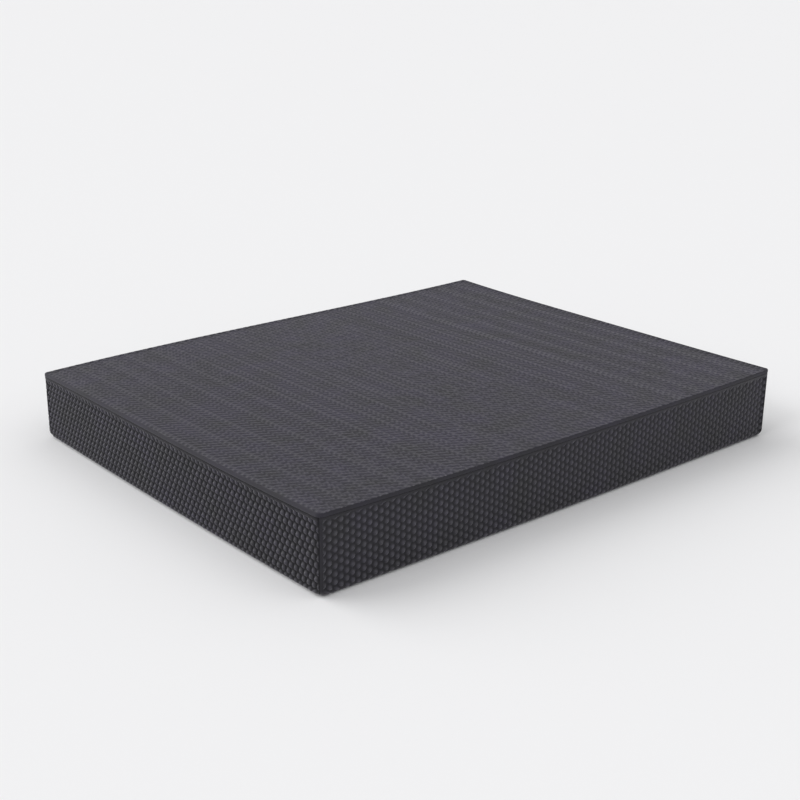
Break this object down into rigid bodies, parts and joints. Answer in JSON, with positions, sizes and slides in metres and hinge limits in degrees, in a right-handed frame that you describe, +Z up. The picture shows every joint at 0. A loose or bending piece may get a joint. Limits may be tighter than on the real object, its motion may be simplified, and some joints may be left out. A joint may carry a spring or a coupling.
{
  "type": "balance pad",
  "caption": "Rectangular soft foam balance pad with a laminated core, mitred side skins and a textured anti-slip cover, for standing exercises.",
  "frame": {"origin": "middle of the footprint, on the plane the pad rests on", "axes": "+X along the length, +Y along the width, +Z up through the thickness"},
  "size_m": [0.5, 0.4, 0.06],
  "materials": {
    "cover_skin": "matt charcoal elastomer foam skin, embossed with close-packed round pebbles",
    "side_skin": "matt charcoal elastomer foam skin, embossed with close-packed round pebbles",
    "core_foam": "matt closed-cell elastomer foam with fine open pores on the cut faces"
  },
  "bodies": {
    "root": {"top_cover": "cover_skin", "bottom_cover": "cover_skin", "front_side_skin": "side_skin", "back_side_skin": "side_skin", "left_side_skin": "side_skin", "right_side_skin": "side_skin", "upper_core_ply": "core_foam", "middle_core_ply": "core_foam", "lower_core_ply": "core_foam"}
  },
  "joints": []
}
